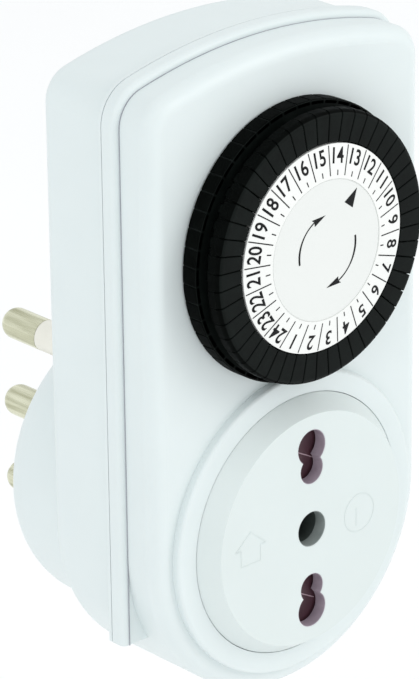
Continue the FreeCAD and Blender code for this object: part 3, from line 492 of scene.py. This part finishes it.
def case_outline(grow):
    """Half-open outline of the lip: up the left side, over the arched top and down the right."""
    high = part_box("rear_cover")[1]
    width = high.x + grow
    corner = CORNER_RADIUS + grow
    arch = ARCH_RADIUS + grow
    drop = ARCH_RADIUS - high.z
    corner_x = width - corner
    corner_z = math.sqrt((arch - corner) ** 2 - corner_x ** 2) - drop
    tilt = math.atan2(corner_z + drop, corner_x)
    points = [(-width, LIP_BOTTOM), (-width, corner_z * 0.5)]
    points += arc_points(-corner_x, corner_z, corner, math.pi, math.pi - tilt, 12)
    points += arc_points(0, -drop, arch, math.pi - tilt, tilt, 40)[1:-1]
    points += arc_points(corner_x, corner_z, corner, tilt, 0, 12)
    return points + [(width, corner_z * 0.5), (width, LIP_BOTTOM)]


def rim_strip(name, finish, grow, half, start, thickness):
    """A strip round the rim: grow is its middle line's distance from the shell, start its depth
    behind the parting plane."""
    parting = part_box("rear_cover")[0].y

    def place(u, v, depth):
        return Vector((u, parting + start + depth, v))

    mesh = bmesh.new()
    ribbon(mesh, case_outline(grow), half, place, thickness)
    made = mesh_piece(name, mesh, finish, "root")
    soften(made)


def case_seams(white, grey):
    """The rear shell's thin lip behind the bead, and grey strips of painted shade on both sides of the
    bead, in the parting slit and at the bead's foot.
    """
    half_lip = LIP_OUT / 2
    rim_strip("rear_lip", white, half_lip - LIP_INSIDE, half_lip + LIP_INSIDE, SLIT, LIP_DEPTH)
    rim_strip("parting_line_shade", grey, half_lip - SEAM_SHIFT, half_lip - SEAM_TRIM, SEAM_START, SLIT)
    rim_strip("bead_foot_shade", grey, 0.0, FOOT_HALF, -BEAD_DEPTH - FOOT_FORWARD, FOOT_DEPTH)


# ---------------------------------------------------------------- the socket's face

def pin_hole_outline(side, inset):
    """The figure of eight of one bivalent hole, from its big and small circles."""
    big, small = BIG_HOLE - inset, SMALL_HOLE - inset
    apart = PIN_PITCH - SMALL_PITCH
    to_neck = (apart ** 2 + big ** 2 - small ** 2) / (2 * apart)
    big_turn = math.acos(to_neck / big)
    small_turn = math.acos((apart - to_neck) / small)
    down, up = -math.pi / 2, math.pi / 2
    points = arc_points(0, PIN_PITCH, big, down + big_turn, down + 2 * math.pi - big_turn, 40)
    points += arc_points(0, SMALL_PITCH, small, up + small_turn, up + 2 * math.pi - small_turn, 32)[1:-1]
    return [(u, v * side) for u, v in points]


def hole_liners(live, earth, deep):
    """Thin sheets of painted shade just inside the socket's three holes. The earth tube's is longer and
    darker.
    """
    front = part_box("socket_face")[0].y
    earth_outline = arc_points(0, 0, BIG_HOLE - SHADE_SHEET_INSET, 0, 2 * math.pi, 64)[:-1]
    shade_sheets = (
        ("line_hole_shade", pin_hole_outline(1, SHADE_SHEET_INSET), SHADE_SHEET_START, SHADE_SHEET_LENGTH, live),
        ("neutral_hole_shade", pin_hole_outline(-1, SHADE_SHEET_INSET), SHADE_SHEET_START, SHADE_SHEET_LENGTH, live),
        ("earth_hole_shade", earth_outline, SHADE_SHEET_START, SHADE_SHEET_LENGTH, earth),
        ("earth_tube_shade", earth_outline, SKIN, TUBE_LENGTH, deep),
    )
    for name, outline, start, length, finish in shade_sheets:

        def place(u, v, depth, start=start):
            return Vector((u, front + start + depth, v))

        mesh = bmesh.new()
        ribbon(mesh, outline, SHADE_SHEET_HALF, place, length, closed=True)
        made = mesh_piece(name, mesh, finish, "root")
        soften(made)


def shutter_ridges(finish):
    """A slanting rib across each arm of the shutter, seen at the neck of the hole, lighter than the
    shutter as a painted highlight.
    """
    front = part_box("safety_shutter")[0].y
    mesh = bmesh.new()

    def place(u, v, depth):
        return Vector((u, front - RIDGE_HEIGHT + depth, v))

    for side in (1, -1):
        middle = side * (PIN_PITCH - RIDGE_INWARD)
        ends = [(-RIDGE_REACH, middle + RIDGE_RISE), (RIDGE_REACH, middle - RIDGE_RISE)]
        ribbon(mesh, ends, RIDGE_HALF, place, RIDGE_DEPTH)
    mesh_piece("shutter_ridges", mesh, finish, "shutter")


def face_marks(finish):
    """Faint raised marks on the socket's face: a ring with a bar, and a plain house outline."""
    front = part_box("socket_face")[0].y

    def place(u, v, depth):
        return Vector((u, front - MARK_HEIGHT + depth, v))

    mesh = bmesh.new()
    ring_u, ring_v = MARK_RING
    ring = arc_points(ring_u, ring_v, MARK_RING_RADIUS, 0, 2 * math.pi, 48)[:-1]
    ribbon(mesh, ring, MARK_HALF, place, MARK_DEPTH, closed=True)
    bar = [(ring_u - BAR_LEFT, ring_v - BAR_DOWN), (ring_u - BAR_LEFT, ring_v + BAR_UP)]
    ribbon(mesh, bar, MARK_HALF, place, MARK_DEPTH)
    house_u, house_v = MARK_HOUSE
    corners = (
        (-WALL_HALF, WALL_FOOT), (WALL_HALF, WALL_FOOT), (WALL_HALF, EAVES_UP), (EAVES_HALF, EAVES_UP),
        (0, ROOF_UP), (-EAVES_HALF, EAVES_UP), (-WALL_HALF, EAVES_UP),
    )
    house = [(house_u + u, house_v + v) for u, v in corners]
    ribbon(mesh, house, MARK_HALF, place, MARK_DEPTH, closed=True)
    mesh_piece("face_marks", mesh, finish, "root")


# ---------------------------------------------------------------- the tappets

def rounded_edge(outer, front, rounding, steps):
    """A quarter circle in (radius, depth), from the front to the outer side."""
    turns = [math.pi / 2 * i / steps for i in range(steps + 1)]
    return [(outer - rounding + rounding * math.sin(turn), front + rounding * (1 - math.cos(turn)))
            for turn in turns]


def head_section(inset):
    """Outline of a tappet's head in (radius, depth), drawn in by inset along its front edges."""
    inner, outer = TAPPET_INNER + inset, TAPPET_OUTER - inset
    points = [(inner, TAPPET_DEPTH), (inner, inset + TAPPET_BEVEL), (inner + TAPPET_BEVEL, inset)]
    points += rounded_edge(outer, inset, TAPPET_ROUND, 8)
    return points + [(outer, TAPPET_DEPTH)]


def segment(mesh, dial, middle, front, gap, section, edge):
    """A ring segment swept from sections: drawn in at both flanks, full in between."""
    rings = []
    for side, at_flank in ((-1, True), (-1, False), (0, False), (1, False), (1, True)):
        ring = []
        for radius, depth in section(edge if at_flank else 0.0):
            reach = (TAPPET_STEP / 2 - gap / 2 / radius) - (0.0 if at_flank else edge / radius)
            angle = middle + side * reach
            ring.append(mesh.verts.new((dial.x + radius * math.cos(angle), front + depth,
                                        dial.z + radius * math.sin(angle))))
        rings.append(ring)
    count = len(rings[0])
    for near, far in zip(rings, rings[1:]):
        for k in range(count):
            j = (k + 1) % count
            mesh.faces.new((near[k], far[k], far[j], near[j]))
    mesh.faces.new(rings[0])
    mesh.faces.new(reversed(rings[-1]))


def skirt_section(inset):
    """Outline of the wider skirt at the back of a tappet's head, which closes the slit to the next."""
    inner, outer = SKIRT_INNER + inset, SKIRT_OUTER - inset
    front = SKIRT_FRONT + inset
    return [(inner, SKIRT_BACK), (inner, front), (outer, front), (outer, SKIRT_BACK)]


def stem(mesh, dial, middle, front, back):
    """The tappet's shank, a plain bar behind the head."""
    out = Vector((math.cos(middle), 0, math.sin(middle)))
    across = Vector((-math.sin(middle), 0, math.cos(middle))) * STEM_WIDTH / 2
    centre = Vector((dial.x, 0, dial.z))
    corners = []
    for y in (front, back):
        for radius, side in ((STEM_INNER, -1), (STEM_OUTER, -1), (STEM_OUTER, 1), (STEM_INNER, 1)):
            corners.append(mesh.verts.new(centre + out * radius + across * side + Vector((0, y, 0))))
    mesh.faces.new(corners[:4])
    mesh.faces.new(reversed(corners[4:]))
    for k in range(4):
        j = (k + 1) % 4
        mesh.faces.new((corners[k], corners[4 + k], corners[4 + j], corners[j]))


def darken_rim(made, dial, finish):
    """The tappets' outer sides take a darker finish than their faces, as painted shade."""
    made.data.materials.append(finish)
    for face in made.data.polygons:
        reach = math.hypot(face.center.x - dial.x, face.center.z - dial.z)
        if reach > RIM_SHADE_START:
            face.material_index = 1


def tappet_pieces(dial, finish, rim_shade_finish):
    """Two finely rounded tappets for each hour, in place of the CAD's."""
    for hour in range(1, HOURS + 1):
        node = f"tappets_hour_{hour:02d}"
        low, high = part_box(node)
        mesh = bmesh.new()
        for index in range(2):
            middle = FIRST_LINE + (hour - LINE_FIELD) * HOUR_STEP + (index + 0.5) * TAPPET_STEP
            segment(mesh, dial, middle, low.y, TAPPET_GAP, head_section, TAPPET_EDGE)
            segment(mesh, dial, middle, low.y, SKIRT_GAP, skirt_section, 0.0)
            stem(mesh, dial, middle, low.y + TAPPET_DEPTH - STEM_LAP, high.y)
        made = mesh_piece(f"tappet_pair_{hour:02d}", mesh, finish, node)
        # painted shade on the tappets' outer sides
        darken_rim(made, dial, rim_shade_finish)
        soften(made)
        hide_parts(node)


def band_section(inset):
    """Outline of one step of the band in (radius, depth), with rounded outer edges."""
    inner, outer = BAND_OUTER - BAND_WALL, BAND_OUTER - inset
    points = [(inner, BAND_DEPTH), (inner, inset)]
    points += rounded_edge(outer, inset, BAND_ROUND, 4)
    return points + [(outer, BAND_DEPTH)]


def band_segments(dial, finish):
    """The band's 48 steps, one behind each tappet."""
    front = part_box("dial_wheel")[0].y + BAND_BEHIND
    mesh = bmesh.new()
    for i in range(TAPPETS):
        middle = FIRST_LINE + (i + 0.5) * TAPPET_STEP
        segment(mesh, dial, middle, front, BAND_GAP, band_section, BAND_EDGE)
    made = mesh_piece("band_segments", mesh, finish, "dial")
    soften(made)


# ---------------------------------------------------------------- the printed dial

class Dial:
    """The dial's centre and the cone of its printed hour ring."""

    def __init__(self):
        low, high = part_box("hour_ring")
        self.x = (low.x + high.x) / 2
        self.z = (low.z + high.z) / 2
        self.inner_y = low.y
        self.outer_y = high.y - RING_THICKNESS
        self.outer_radius = (high.x - low.x) / 2
        self.inner_radius = RING_INNER

    def at(self, radius, angle, depth):
        """A point at a radius and an angle, counter-clockwise from +X, on the ring's front."""
        share = (radius - self.inner_radius) / (self.outer_radius - self.inner_radius)
        y = self.inner_y + share * (self.outer_y - self.inner_y) - PRINT_LIFT + depth
        return Vector((self.x + radius * math.cos(angle), y, self.z + radius * math.sin(angle)))

    def beside(self, radius, angle, across, out, depth):
        """A point across and out from the place at radius and angle; across runs clockwise."""
        angle_off = math.atan2(across, radius + out)
        return self.at(math.hypot(across, radius + out), angle - angle_off, depth)


def text_mesh(words, height):
    """The flat faces of a word in the plain built-in typeface, centred, as a mesh."""
    curve = bpy.data.curves.new("word", "FONT")
    curve.body = words
    curve.size = height * SIZE_PER_HEIGHT
    curve.align_x = "CENTER"
    curve.align_y = "CENTER"
    curve.resolution_u = 4
    curve.offset = height * BOLD_PER_HEIGHT
    holder = bpy.data.objects.new("word", curve)
    bpy.context.scene.collection.objects.link(holder)
    bpy.context.view_layer.update()
    shown = holder.evaluated_get(bpy.context.evaluated_depsgraph_get())
    flat = bpy.data.meshes.new_from_object(shown)
    bpy.data.objects.remove(holder)
    bpy.data.curves.remove(curve)
    return flat


def hour_numbers(dial, finish):
    """The numbers 1 to 24, their tops outward, in the middle of their fields."""
    mesh = bmesh.new()
    for hour in range(1, HOURS + 1):
        flat = text_mesh(str(hour), DIGIT_HEIGHT)
        word = bmesh.new()
        word.from_mesh(flat)
        bpy.data.meshes.remove(flat)
        us = [v.co.x for v in word.verts]
        vs = [v.co.y for v in word.verts]
        middle_u = (min(us) + max(us)) / 2
        middle_v = (min(vs) + max(vs)) / 2
        angle = FIRST_LINE + (hour - LINE_FIELD + 0.5) * HOUR_STEP
        bmesh.ops.solidify(word, geom=word.faces[:], thickness=2 * PRINT_LIFT)
        flat_top = max(v.co.z for v in word.verts)
        for v in word.verts:
            across = v.co.x - middle_u
            out = v.co.y - middle_v
            v.co = dial.beside(DIGIT_RADIUS, angle, across * DIGIT_NARROW, out, flat_top - v.co.z)
        data = bpy.data.meshes.new("word")
        word.to_mesh(data)
        word.free()
        mesh.from_mesh(data)
        bpy.data.meshes.remove(data)
    mesh_piece("hour_numbers", mesh, finish, "dial")


def hour_lines(dial, finish):
    """A line between the hours' fields, and a short tick in the middle of each."""
    half = LINE_WIDTH / 2
    mesh = bmesh.new()
    for i in range(2 * HOURS):
        angle = FIRST_LINE + i * HOUR_STEP / 2
        outer = LINE_OUTER if i % 2 == 0 else TICK_OUTER
        outline = [(-half, LINE_INNER), (half, LINE_INNER), (half, outer), (-half, outer)]

        def place(across, radius, depth, angle=angle):
            return dial.beside(0.0, angle, across, radius, depth)

        slab(mesh, outline, place, 2 * PRINT_LIFT)
    mesh_piece("hour_lines", mesh, finish, "dial")


def disc_edge(dial, finish):
    """The pale sloping edge between the fixed disc and the hour ring."""
    low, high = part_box("centre_plate")

    def place(u, v, depth):
        return Vector((dial.x + u, low.y + EDGE_SINK + depth, dial.z + v))

    radius = (high.x - low.x) / 2 + EDGE_OUT
    mesh = bmesh.new()
    circle = arc_points(0, 0, radius, 0, 2 * math.pi, 128)[:-1]
    ribbon(mesh, circle, EDGE_HALF, place, EDGE_DEPTH, closed=True)
    made = mesh_piece("disc_edge", mesh, finish, "root")
    soften(made)


def centre_marks(dial, finish):
    """On the fixed middle: the pointer that shows the time, and two arrows the way the dial turns."""
    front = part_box("centre_plate")[0].y

    def place(u, v, depth):
        return Vector((dial.x + u, front - PRINT_LIFT + depth, dial.z + v))

    mesh = bmesh.new()
    corners = (
        (POINTER_TIP, POINTER_ANGLE),
        (POINTER_BASE, POINTER_ANGLE - POINTER_SPREAD),
        (POINTER_BASE, POINTER_ANGLE + POINTER_SPREAD),
    )
    outline = [(radius * math.cos(a), radius * math.sin(a)) for radius, a in corners]
    slab(mesh, outline, place, 2 * PRINT_LIFT)
    mesh_piece("time_pointer", mesh, finish, "root")

    mesh = bmesh.new()
    curved_arrow(mesh, place, LEFT_ARROW_START, LEFT_ARROW_RADIUS)
    curved_arrow(mesh, place, RIGHT_ARROW_START, RIGHT_ARROW_RADIUS)
    mesh_piece("turn_arrows", mesh, finish, "root")


def curved_arrow(mesh, place, start, radius):
    """An arrow that bends clockwise from start round the dial's centre, with a slim head."""
    steps = 16
    outer, inner = [], []
    for i in range(steps + 1):
        angle = start - ARROW_SWEEP * i / steps
        swell = math.sin(math.pi * min(1.0, SWELL_START + i / steps))
        width = ARROW_HALF * (THIN_SHARE + (1 - THIN_SHARE) * swell)
        outer.append(((radius + width) * math.cos(angle), (radius + width) * math.sin(angle)))
        inner.append(((radius - width) * math.cos(angle), (radius - width) * math.sin(angle)))
    slab(mesh, outer + inner[::-1], place, 2 * PRINT_LIFT)
    neck = start - ARROW_SWEEP
    tip = neck - HEAD_SWEEP
    back = neck + HEAD_BARB
    corners = ((radius, tip), (radius - HEAD_HALF, back), (radius, neck), (radius + HEAD_HALF, back))
    head = [(reach * math.cos(a), reach * math.sin(a)) for reach, a in corners]
    slab(mesh, head, place, HEAD_THICKNESS)


# ---------------------------------------------------------------- camera, lights and floor

def make_camera():
    """A long lens that looks down at the front from the left."""
    aim = Vector((-AIM_LEFT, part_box("front_cover")[0].y, AIM_UP))
    back = Vector((
        math.sin(AZIMUTH) * math.cos(ELEVATION),
        -math.cos(AZIMUTH) * math.cos(ELEVATION),
        math.sin(ELEVATION),
    ))
    data = bpy.data.cameras.new("camera")
    data.lens = LENS_MM
    data.sensor_width = SENSOR_MM
    data.clip_start = 0.01
    camera = bpy.data.objects.new("camera", data)
    bpy.context.scene.collection.objects.link(camera)
    level_right = (-back).cross(Vector((0, 0, 1))).normalized()
    level_up = level_right.cross(-back)
    right = math.cos(ROLL) * level_right + math.sin(ROLL) * level_up
    up = math.cos(ROLL) * level_up - math.sin(ROLL) * level_right
    turn = Matrix((right, up, back)).transposed()
    camera.matrix_world = Matrix.Translation(aim + back * CAMERA_DISTANCE) @ turn.to_4x4()
    bpy.context.scene.camera = camera


def area_light(name, place, aim, size, power, colour):
    """A soft square light that points at aim."""
    data = bpy.data.lights.new(name, "AREA")
    data.size = size
    data.energy = power
    data.color = colour
    made = bpy.data.objects.new(name, data)
    bpy.context.scene.collection.objects.link(made)
    turn = (aim - place).to_track_quat("-Z", "Y").to_matrix()
    made.matrix_world = Matrix.Translation(place) @ turn.to_4x4()


def make_studio(low, high):
    """A pale floor, an even pale sky and two soft lights."""
    middle = (low + high) / 2
    world = bpy.data.worlds.new("studio")
    world.use_nodes = True
    sky = world.node_tree.nodes["Background"]
    sky.inputs["Color"].default_value = (*SKY_COLOUR, 1)
    sky.inputs["Strength"].default_value = SKY_STRENGTH
    bpy.context.scene.world = world
    area_light("key", middle + KEY_PLACE, middle, KEY_SIZE, KEY_WATTS, KEY_COLOUR)
    area_light("fill", middle + FILL_PLACE, middle, FILL_SIZE, FILL_WATTS, FILL_COLOUR)

    made, tree, shader = new_material("floor_pale")
    tone = noise(tree, object_coordinates(tree), 0.12, detail=2)
    tree.links.new(ramp(tree, tone, (0.3, (0.985, 0.985, 0.985)), (0.7, (0.995, 0.995, 0.995))),
                   shader.inputs["Base Color"])
    shader.inputs["Roughness"].default_value = 0.9
    mesh = bmesh.new()
    bmesh.ops.create_circle(mesh, cap_ends=True, segments=64, radius=FLOOR_RADIUS)
    data = bpy.data.meshes.new("floor")
    mesh.to_mesh(data)
    mesh.free()
    data.materials.append(made)
    floor = bpy.data.objects.new("floor", data)
    floor.location = (0, 0, low.z - FLOOR_DROP)
    bpy.context.scene.collection.objects.link(floor)


# ---------------------------------------------------------------- put together

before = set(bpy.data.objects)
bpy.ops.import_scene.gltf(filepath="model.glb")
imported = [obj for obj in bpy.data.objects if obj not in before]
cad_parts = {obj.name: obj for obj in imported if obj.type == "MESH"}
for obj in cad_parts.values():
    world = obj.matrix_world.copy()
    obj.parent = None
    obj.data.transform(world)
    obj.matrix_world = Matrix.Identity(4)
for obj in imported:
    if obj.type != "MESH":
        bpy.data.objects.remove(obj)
cad_low, cad_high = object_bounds()

finishes = {make.__name__: make() for make in FINISHES}
ink = print_black()
dress_nodes(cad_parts, finishes)

case_seams(finishes["case_white"], finishes["seam_grey"])
hole_liners(finishes["liner_plum"], finishes["liner_grey"], finishes["liner_dark"])
shutter_ridges(finishes["ridge_plum"])
face_marks(finishes["face_white"])

dial = Dial()
tappet_pieces(dial, finishes["ring_black"], finishes["band_black"])
band_segments(dial, finishes["band_black"])
disc_edge(dial, finishes["disc_white"])
hour_numbers(dial, ink)
hour_lines(dial, ink)
centre_marks(dial, ink)

make_camera()
make_studio(cad_low, cad_high)
bpy.context.scene.view_settings.view_transform = "Standard"
